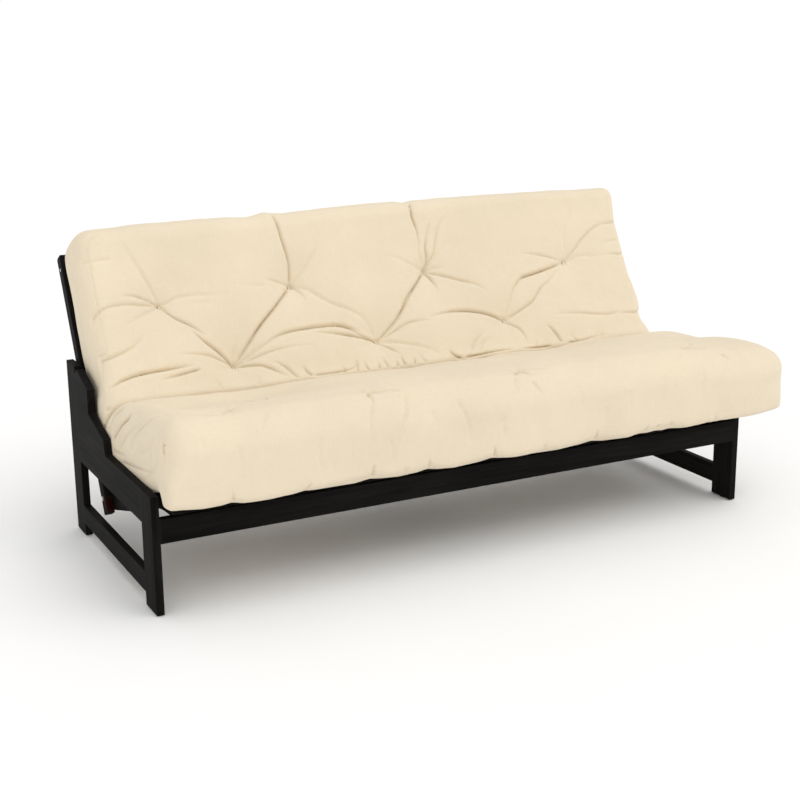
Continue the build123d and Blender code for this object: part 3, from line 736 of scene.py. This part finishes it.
# Pulls and hanging folds at the seat's front edge and face, (x, z).
FRONT_FOLDS = [
    ([(-378, 527), (-384, 513), (-395, 488), (-404, 445), (-400, 400)], 2, 7),
    ([(-283, 523), (-288, 505), (-298, 470), (-320, 420), (-335, 360)], 2, 7),
    ([(63, 526), (57, 500), (48, 475)], 2, 6), ([(115, 508), (124, 490), (137, 463)], 3, 6),
    ([(-140, 485), (-113, 435), (-100, 390), (-101, 355)], 1, 7), ([(-683, 525), (-700, 498), (-716, 462)], 1, 6),
    ([(-872, 492), (-862, 452)], 1, 4), ([(-346, 410), (-338, 366), (-353, 318)], 1, 6),
    ([(350, 400), (345, 350)], 0, 6), ([(815, 490), (778, 512)], 3, 5),
    ([(560, 470), (548, 420), (560, 370)], 0, 6), ([(-550, 450), (-556, 390), (-540, 330)], 0, 7),
    ([(255, 480), (262, 425), (250, 370)], 0, 6), ([(-780, 460), (-770, 400), (-775, 340)], 0, 6),
    ([(-220, 470), (-210, 420)], 0, 6), ([(430, 440), (440, 360)], 0, 6), ([(700, 460), (690, 380)], 0, 6),
    ([(0, 420), (10, 340)], 0, 6),
]
# Notches where the lower boxing seam is drawn up along the front, (x, how tall, depth).
HEM_HEIGHT = 300
HEM_NOTCHES = [(-792, 35, 4), (-590, 30, 4), (-396, 45, 5), (-300, 25, 3), (-222, 40, 5),
               (-16, 45, 5), (150, 25, 3), (322, 40, 5), (500, 25, 4), (545, 20, 4),
               (600, 25, 4), (760, 30, 3)]
# Pulls on the seat's top, (x, y).
SEAT_PLEATS = [
    ([S0, (-740, -398)], 4, 4), ([S0, (-805, -440)], 1, 4), ([(-693, -379), (-705, -335), (-680, -240)], 3, 5),
    ([(-653, -380), (-640, -320)], 4, 4), ([S1, (-386, -437), (-378, -458)], 7, 7),
    ([S1, (-330, -418), (-300, -432), (-286, -455)], 3, 7), ([S1, (-410, -385)], 2, 4), ([S2, (64, -448)], 5, 5),
    ([S2, (118, -455)], 4, 4), ([S2, (145, -425), (185, -445)], 3, 4), ([S2, (50, -435)], 3, 3),
    ([S3, (735, -375), (755, -330)], 3, 4), ([S3, (770, -425)], 3, 4), ([S3, (660, -430)], 1, 4),
    ([(-800, -430), (-870, -405), (-925, -360), (-945, -300)], 2, 6),
]
# Folds on the left end and its shoulder, (y, z).
LEFT_FOLDS = [
    ([(-10, 371), (-46, 401), (-98, 440), (-160, 480), (-175, 500)], 10, 9),
    ([(-160, 482), (-98, 442), (-50, 404)], 8, 4), ([(-171, 387), (-205, 431), (-288, 486), (-351, 521)], 3, 9),
    ([(31, 394), (3, 440), (-70, 475), (-134, 497)], 7, 9), ([(95, 430), (50, 455), (-20, 480), (-80, 500)], 6, 8),
    ([(-60, 355), (-120, 405), (-190, 450), (-270, 498)], 3, 7), ([(-101, 332), (-226, 349), (-346, 373)], 4, 5),
    ([(-12, 341), (-70, 347), (-128, 356)], 4, 5), ([(-442, 449), (-438, 470), (-453, 473)], 7, 4),
    ([(-430, 485), (-447, 442), (-430, 387)], 1, 6), ([(-360, 469), (-333, 411), (-325, 347)], 2, 7),
    ([(-250, 400), (-330, 440), (-390, 495)], 1, 7), ([(-300, 345), (-380, 400), (-420, 450)], 1, 6),
]
CREASE_WIDTH, VALLEY_WIDTH = 0.0030, 0.017
CREASE_SHARE, VALLEY_SHARE = 0.80, 0.88      # of the depths listed above
SEAM_INSET, SEAM_ROUND = 0.036, 0.050


def normals_of(co, faces):
    """Vertex normals, weighted by area, of a mesh of quads."""
    p = co[faces]
    n = np.cross(p[:, 2] - p[:, 0], p[:, 3] - p[:, 1])
    out = np.zeros_like(co)
    for c in range(4):
        np.add.at(out, faces[:, c], n)
    return out / np.maximum(np.linalg.norm(out, axis=1), 1e-12)[:, None]


all_quads = np.concatenate([grid_faces(index[:, :, -1], False), grid_faces(index[:, :, 0], True),
                            grid_faces(index[0], True), grid_faces(index[-1], False),
                            grid_faces(index[:, 0], False), grid_faces(index[:, -1], True)])
NORMAL = normals_of(REST, all_quads)


def curve_through(points, step=0.005):
    """A smooth line in metres through 2-D points in millimetres, every few millimetres."""
    p = [np.array(q) / 1000 for q in points]
    length = sum(np.linalg.norm(b - a) for a, b in zip(p, p[1:]))
    return spline(p, np.linspace(0, len(p) - 1, max(4, int(length / step))))


def on_surface(points, axes, mask):
    """3-D points on the rest surface under a smooth line given in two of its axes."""
    choose = LATTICE[mask]
    missing = ({0, 1, 2} - set(axes)).pop()
    out = []
    for q in curve_through(points):
        near = ((choose[:, axes] - q) ** 2).sum(1)
        weight = np.exp(-(near - near.min()) / (0.7 * CELL) ** 2)
        place = np.zeros(3)
        place[axes] = q
        place[missing] = weight @ choose[:, missing] / weight.sum()
        out.append(place)
    return np.array(out)


def pleat_paths():
    """Every pleat as (3-D path, crease depth, valley depth) in metres."""
    outer = (K == NK) | (J == 0) | (I == 0)
    back, seat = (K == NK) & (J > CUT_J), (K == NK) & (J < CUT_J) & (VS[J] < run_of_station(8))
    front = (J == 0) & (K > 0) | (seat & (VS[J] < 0.10))
    left = (I == 0) & (K > 0) | (seat & (XS[I] < LEFT_END + 0.09))
    hem = [([(x, HEM_HEIGHT), (x + 12 * math.sin(0.04 * x), HEM_HEIGHT + tall)], deep, 5)
           for x, tall, deep in HEM_NOTCHES]
    out = []
    for group, axes, mask in ((BACK_PLEATS + CREASE_PUCKERS, [0, 2], back), (SEAT_PLEATS, [0, 1], seat),
                              (FRONT_FOLDS + hem, [0, 2], front), (LEFT_FOLDS, [1, 2], left)):
        for points, crease, valley in group:
            depths = CREASE_SHARE * crease / 1000, VALLEY_SHARE * valley / 1000
            out.append((on_surface(points, axes, mask & outer), *depths))
    return out


PATHS = pleat_paths()


def nearest_on(path, p):
    """Distance of each point from a path, and how far along the path (0 to 1) it is nearest."""
    best, place = np.full(len(p), 9.0), np.zeros(len(p))
    for n, (a, b) in enumerate(zip(path, path[1:])):
        d = b - a
        t = np.clip((p - a) @ d / max(d @ d, 1e-12), 0, 1)
        dist = np.linalg.norm(p - (a + t[:, None] * d), axis=1)
        closer = dist < best
        best, place = np.where(closer, dist, best), np.where(closer, (n + t) / (len(path) - 1), place)
    return best, place


def within(path, p, reach):
    return np.nonzero(((p > path.min(0) - reach) & (p < path.max(0) + reach)).all(1))[0]


def seam_gap(box):
    """Signed distance, in the flat cover, from the boxing seam's rounded rectangle."""
    middle = np.array([(LEFT_END + FULL_END) / 2, LENGTH / 2])
    half = np.array([(FULL_END - LEFT_END) / 2, LENGTH / 2]) - SEAM_INSET
    q = np.abs(box[:, :2] - middle) - half + SEAM_ROUND
    return np.linalg.norm(np.maximum(q, 0), axis=1) + np.minimum(q.max(1), 0) - SEAM_ROUND


def refined(reach, least):
    """Quarters the quads near a crease; their neighbours take the new corners on the shared edges."""
    global BOX, REST, NORMAL, POLYS, GROUP, OWNER
    quads = np.array([n for n, f in enumerate(POLYS) if len(f) == 4 and GROUP[n] in (TOP, FRONT, SIDE)])
    corners = np.array([POLYS[n] for n in quads])
    centre = REST[corners].mean(1)
    close = np.zeros(len(quads), bool)
    for path, crease, valley in PATHS:
        if crease >= least:
            some = within(path, centre, reach)
            close[some[nearest_on(path, centre[some])[0] < reach]] = True
    if least == 0:
        top = np.array([GROUP[n] == TOP for n in quads])
        close |= top & (np.abs(seam_gap(BOX[corners].mean(1))) < CELL)
    close = set(quads[close].tolist())
    box, rest, normal, start, mids = [], [], [], len(BOX), {}

    def added(ids):
        box.append(BOX[ids].mean(0))
        rest.append(REST[ids].mean(0))
        normal.append(NORMAL[ids].mean(0))
        return start + len(box) - 1

    for n in close:
        f = POLYS[n]
        for a, b in zip(f, f[1:] + f[:1]):
            key = (min(a, b), max(a, b))
            if key not in mids:
                mids[key] = added(list(key))
    polys, groups, owners = [], [], []
    for n, f in enumerate(POLYS):
        m = [mids.get((min(a, b), max(a, b))) for a, b in zip(f, f[1:] + f[:1])]
        if n in close:
            c = added(list(f))
            new = [[f[k], m[k], c, m[k - 1]] for k in range(4)]
        elif any(v is not None for v in m):
            new = [[v for pair in zip(f, m) for v in pair if v is not None]]
        else:
            new = [f]
        polys += new
        groups += [GROUP[n]] * len(new)
        owners += [OWNER[n]] * len(new)
    BOX, REST, NORMAL = np.vstack([BOX, box]), np.vstack([REST, rest]), np.vstack([NORMAL, normal])
    POLYS, GROUP, OWNER = polys, groups, owners


refined(0.013, 0)
refined(0.0056, 0.003)


def fractal(co, scale, octaves, seed):
    """Smooth noise at each point, about -1 to 1."""
    shift = Vector((seed * 3.1, seed * 1.7, seed * 5.3))
    return np.array([noise.fractal(Vector(c) * scale + shift, 1.0, 2.0, octaves) for c in co])


def tuft_points():
    """(3-D place, depth in metres, body) of every tuft."""
    on_top = (K == NK)
    found = []
    for rows, axes, mask, depth, body in ((UPPER_ROW + LOWER_ROW, [0, 2], on_top & (J > CUT_J), 0.027, "back_deck"),
                                          (SEAT_FRONT_ROW, [0, 1], on_top & (J < CUT_J), 0.018, "seat_deck"),
                                          (SEAT_REAR_ROW, [0, 1], on_top & (J < CUT_J), 0.018, "seat_deck")):
        for q in rows:
            found.append((on_surface([q, (q[0] + 0.1, q[1])], axes, mask)[0], depth, body))
    return found


def dimple(total, painted_shade, place, depth, seed):
    """A tuft: a wide soft pull, a small pit, and gathers that fan out from it, with painted shade in the pit."""
    r = np.linalg.norm(REST - place, axis=1)
    near = np.nonzero(r < 0.34)[0]
    r, off = r[near], REST[near] - place
    n = NORMAL[near[np.argmin(r)]]
    u = np.cross(n, [0, 0, 1.0]) if abs(n[2]) < 0.9 else np.array([1.0, 0, 0])
    u = u / np.linalg.norm(u)
    w = np.cross(n, u)
    angle = np.arctan2(off @ w, off @ u)
    spokes = sum(np.cos(k * angle + seed * k * 1.3) for k in (5, 9, 14)) / 3
    fan = np.exp(-((r - 0.022) / 0.030) ** 2) * np.clip(r / 0.015, 0, 1)
    pit = 0.22 if depth > 0.02 else 0.42
    total[near] += (-depth * (1 - pit) * np.exp(-(r / 0.095) ** 1.25) - depth * pit * np.exp(-(r / 0.012) ** 2)
                    + 0.0022 * fan * spokes)
    # Painted shade in the tuft's pit.
    painted_shade[near] = np.maximum(painted_shade[near], 0.25 * np.exp(-(r / 0.008) ** 2))


def press(total, painted_shade, path, crease, valley):
    """A pleat: a thin crease down the middle of a soft valley, with a rolled lip on either side, and painted shade
    along the crease.
    """
    reach = 3 * VALLEY_WIDTH
    near = within(path, REST, reach)
    best, place = nearest_on(path, REST[near])
    taper = np.clip((1 - place) / 0.5, 0, 1) ** 0.8 * np.clip(0.35 + place / 0.12, 0, 1)
    thin = np.exp(-(best / CREASE_WIDTH) ** 2) if CELL < 0.01 else 0.5 * np.exp(-(best / 0.007) ** 2)
    soft = np.exp(-(best / VALLEY_WIDTH) ** 1.3)
    lip = np.exp(-((best - 0.011) / 0.007) ** 2)
    total[near] += taper * (-crease * thin - valley * 0.75 * soft + 0.16 * (crease + valley) * lip)
    # Painted shade along the crease line, stronger for deeper creases.
    shade = taper * np.exp(-(best / (0.8 * CREASE_WIDTH)) ** 2) * min(0.85, crease / 0.008)
    painted_shade[near] = np.maximum(painted_shade[near], shade)


def slat_gaps(x, deck):
    """1 halfway between two slats of a deck, 0 over the slats."""
    nodes = [f"{deck}_slat_{n:02d}" for n in range(1, 11)]
    centres = sorted((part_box(n)[0].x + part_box(n)[1].x) / 2 for n in nodes)
    half = (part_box(nodes[0])[1].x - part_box(nodes[0])[0].x) / 2
    out = np.zeros(len(x))
    for a, b in zip(centres, centres[1:]):
        t = np.clip((x - a - half) / (b - a - 2 * half), 0, 1)
        out = np.maximum(out, np.sin(math.pi * t) ** 2)
    return out


def displaced():
    """The rest surface with its tufts, pleats, seams and creeping unevenness, and the painted shade in its creases,
    pits and seam.
    """
    total, painted_shade = np.zeros(len(REST)), np.zeros(len(REST))
    tufts = tuft_points()
    for n, (place, depth, body) in enumerate(tufts):
        dimple(total, painted_shade, place, depth, n + 1)
    for path, crease, valley in PATHS:
        press(total, painted_shade, path, crease, valley)
    x, v, h = BOX.T
    shown = np.nonzero(h > 0)[0]
    co = REST[shown]
    total[shown] += 0.0034 * fractal(co, 5.0, 2, 1) + 0.0011 * fractal(co * [1, 1, 0.6], 19.0, 3, 2)
    # Hanging unevenness of the front face, fullest near its lower edge.
    front = smooth(-v, -0.16, -0.02) * smooth(-h, -1.0, -0.3)
    total += front * (0.0045 * np.sin(13.1 * x + 0.6) * np.sin(5.3 * x + 1.1) + 0.002 * np.sin(31 * x + 2 * h))
    # The boxing seam: a thin drawn line with small gathers either side.
    gap, run = np.abs(seam_gap(BOX)), x + v
    plain = 0.25 + 0.75 * smooth(-x, 0.86, 0.91) * smooth(v, 0.9, 1.1)
    near_top = smooth(h, 0.9, 1.0) * plain
    total += near_top * (-0.0016 * np.exp(-(gap / 0.003) ** 2)
                         + 0.0007 * np.exp(-(gap / 0.009) ** 2) * np.sin(run * 260 + 3 * np.sin(run * 37)))
    # Painted shade along the seam line.
    painted_shade = np.maximum(painted_shade, 0.22 * near_top * np.exp(-(gap / 0.0022) ** 2))
    # The slit's own walls stay as they are; the lower cover only swells between the slats.
    wall = smooth(np.abs(v - (run_of_station(12) + run_of_station(13)) / 2), 0.060, 0.092)
    total *= np.where(h <= 0, 0.0, np.where(h >= 1, wall, 1.0))
    inside = smooth(v, 0.14, 0.20) * smooth(-v, -(LENGTH - 0.14), -(LENGTH - 0.20)) * (h <= 0)
    near_fold = smooth(np.abs(v - run_of_station(BACK_MOUTH)), 0.10, 0.18)
    swell = np.where(v < run_of_station(BACK_MOUTH), slat_gaps(x, "seat"), slat_gaps(x, "back"))
    total += 0.0045 * swell * inside * near_fold
    return REST + NORMAL * total[:, None], np.clip(painted_shade, 0, 1) * (h > 0), tufts


SHAPE, PAINTED_SHADE_MAP, TUFTS = displaced()

# Inner walls of the cuts follow the displaced covers above and below them.
moved = SHAPE - REST
on_cut = ((I == CUT_I) & (J > 0) & (J < NJ)) | ((J == CUT_J) & (I > 0) & (I < NI))
inner = np.nonzero((K > 0) & (K < NK) & on_cut)[0]
above, below = index[I[inner], J[inner], NK], index[I[inner], J[inner], 0]
share = HS[K[inner]][:, None]
SHAPE[inner] = REST[inner] + moved[above] * share + moved[below] * (1 - share)


def add_piece(name, owner):
    """One of the three pieces of the mattress, with the cover's own thread directions as its UV map."""
    mine = [n for n, o in enumerate(OWNER) if o == owner]
    faces = [POLYS[n] for n in mine]
    used = np.unique(np.concatenate([np.array(f) for f in faces]))
    renumber = np.full(len(SHAPE), -1, np.int64)
    renumber[used] = np.arange(len(used))
    mesh = bpy.data.meshes.new(name)
    mesh.from_pydata(SHAPE[used].tolist(), [], [renumber[f].tolist() for f in faces])
    corners = np.concatenate([np.array(f) for f in faces])
    kind = np.repeat([GROUP[n] for n in mine], [len(f) for f in faces])
    x, v, h = BOX[corners].T
    h = h * 0.2
    across = (kind == SIDE) | (kind == INNER)
    uv = np.column_stack([np.where(across, h, x), np.where(kind == FRONT, h, v)])
    mesh.uv_layers.new(name="cloth").data.foreach_set("uv", uv.astype(np.float32).ravel())
    # The painted crease shade, which darkens the cloth's colour.
    mesh.attributes.new("painted_crease_shade", "FLOAT", "POINT").data.foreach_set("value", PAINTED_SHADE_MAP[used].astype(np.float32))
    mesh.polygons.foreach_set("use_smooth", np.ones(len(faces), bool))
    mesh.update()
    mesh.set_sharp_from_angle(angle=math.radians(80))
    mesh.materials.append(COTTON)
    o = placed(name, mesh)
    return o


mattress = add_piece("mattress", 0)
end_seat = add_piece("mattress_end_seat", 1)
end_back = add_piece("mattress_end_back", 2)

for piece in (mattress, end_seat):
    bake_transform(piece)
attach(end_back, "back_deck")
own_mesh(end_back)
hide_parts("mattress_seat", "mattress_back")

# ------------ tuft threads


def tube(points, radius, sides=6):
    """Vertices and faces of a thin round cord along a 3-D line, closed at both ends."""
    p = np.array(points)
    co, faces = [], []
    for n in range(len(p)):
        d = p[min(n + 1, len(p) - 1)] - p[max(n - 1, 0)]
        d = d / np.linalg.norm(d)
        u = np.cross(d, [0.31, 0.87, 0.38])
        u = u / np.linalg.norm(u)
        w = np.cross(d, u)
        thin = radius * (0.6 if n in (0, len(p) - 1) else 1.0)
        co += [p[n] + thin * (math.cos(2 * math.pi * k / sides) * u + math.sin(2 * math.pi * k / sides) * w)
               for k in range(sides)]
    for n in range(len(p) - 1):
        faces += [[n * sides + k, n * sides + (k + 1) % sides, (n + 1) * sides + (k + 1) % sides, (n + 1) * sides + k]
                  for k in range(sides)]
    faces += [list(range(sides))[::-1], [(len(p) - 1) * sides + k for k in range(sides)]]
    return co, faces


def thread_piece(name, body):
    """The stitch and the two cut tails at each tuft of one body."""
    co, faces = [], []
    for place, depth, owner in TUFTS:
        if owner != body:
            continue
        n = np.argmin(((REST - place) ** 2).sum(1))
        out, foot = NORMAL[n], SHAPE[n]
        side = np.array([1.0, 0, 0])
        up = np.cross(side, out)
        lift = 0.0050 if owner == "back_deck" else 0.0010
        for a, b, high in ((-0.1, 1.25, 0.0030), (0.12, -1.1, 0.0034), (0.30, 0.5, 0.0020)):
            line = [foot + out * (lift + high * math.sin(math.pi * t)) + 0.0095 * (a * t * side + b * (t - 0.5) * up)
                    for t in np.linspace(0, 1, 6)]
            more, shapes = tube(line, 0.0014)
            faces += [[k + len(co) for k in f] for f in shapes]
            co += [list(c) for c in more]
    mesh = bpy.data.meshes.new(name)
    mesh.from_pydata(co, [], faces)
    mesh.polygons.foreach_set("use_smooth", np.ones(len(faces), bool))
    mesh.materials.append(YARN)
    o = placed(name, mesh)
    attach(o, body)


thread_piece("tuft_threads_back", "back_deck")
thread_piece("tuft_threads_seat", "seat_deck")

# ------------ floor, light and camera

CAMERA_AT, CAMERA_LENS = Vector((-1.9885, -3.7367, 1.511)), 64.33
CAMERA_TURN, CAMERA_DIP, CAMERA_ROLL = math.radians(27.22), math.radians(15.27), math.radians(-0.59)


def studio():
    scene = bpy.context.scene
    scene.view_settings.view_transform = "Standard"
    scene.view_settings.look = "None"
    world = bpy.data.worlds.new("studio")
    world.use_nodes = True
    t = world.node_tree
    where = add(t, "TexCoord")
    split = add(t, "SeparateXYZ")
    link(t, where, "Generated", split, "Vector")
    sky = [(0.0, grey(1.0)), (0.06, grey(1.0)), (0.35, (0.76, 0.757, 0.75)), (1.0, (0.72, 0.715, 0.705))]
    dome = ramp(t, split, "Z", sky)
    link(t, dome, "Color", t.nodes["Background"], "Color")
    scene.world = world
    mesh = bpy.data.meshes.new("floor")
    r = 70.0
    mesh.from_pydata([(-r, -r, 0), (r, -r, 0), (r, r, 0), (-r, r, 0)], [], [(0, 1, 2, 3)])
    floor = placed("floor", mesh)
    m, t, shader = new_material("pale_floor")
    where = add(t, "TexCoord")
    cloud = noise_of(t, where, "Object", 1.2, 3)
    tone = ramp(t, cloud, "Fac", [(0.3, grey(0.978)), (0.7, grey(0.992))])
    link(t, tone, "Color", shader, "Base Color")
    gloss = ramp(t, cloud, "Fac", [(0.3, grey(0.75)), (0.7, grey(0.85))])
    link(t, gloss, "Color", shader, "Roughness")
    bumped(t, shader, [(cloud, "Fac", 0.05, 0.001)])
    mesh.materials.append(m)
    for name, toward, angle, power in (("key", (-0.62, 0.76, -1.75), 55, 0.98), ("fill", (0.7, 1.0, -0.9), 80, 0.22)):
        lamp = bpy.data.lights.new(name, "SUN")
        lamp.angle, lamp.energy = math.radians(angle), power
        o = placed(name, lamp)
        o.rotation_mode = "QUATERNION"
        o.rotation_quaternion = Vector(toward).to_track_quat("-Z", "Y")


def camera():
    forward = Vector((math.sin(CAMERA_TURN) * math.cos(CAMERA_DIP), math.cos(CAMERA_TURN) * math.cos(CAMERA_DIP),
                      -math.sin(CAMERA_DIP)))
    right = Vector((math.cos(CAMERA_TURN), -math.sin(CAMERA_TURN), 0))
    up = right.cross(forward)
    c, s = math.cos(CAMERA_ROLL), math.sin(CAMERA_ROLL)
    right, up = c * right + s * up, c * up - s * right
    data = bpy.data.cameras.new("camera")
    data.lens, data.sensor_width = CAMERA_LENS, 36
    o = placed("camera", data)
    o.matrix_world = Matrix.Translation(CAMERA_AT) @ Matrix((right, up, -forward)).transposed().to_4x4()
    bpy.context.scene.camera = o


studio()
camera()
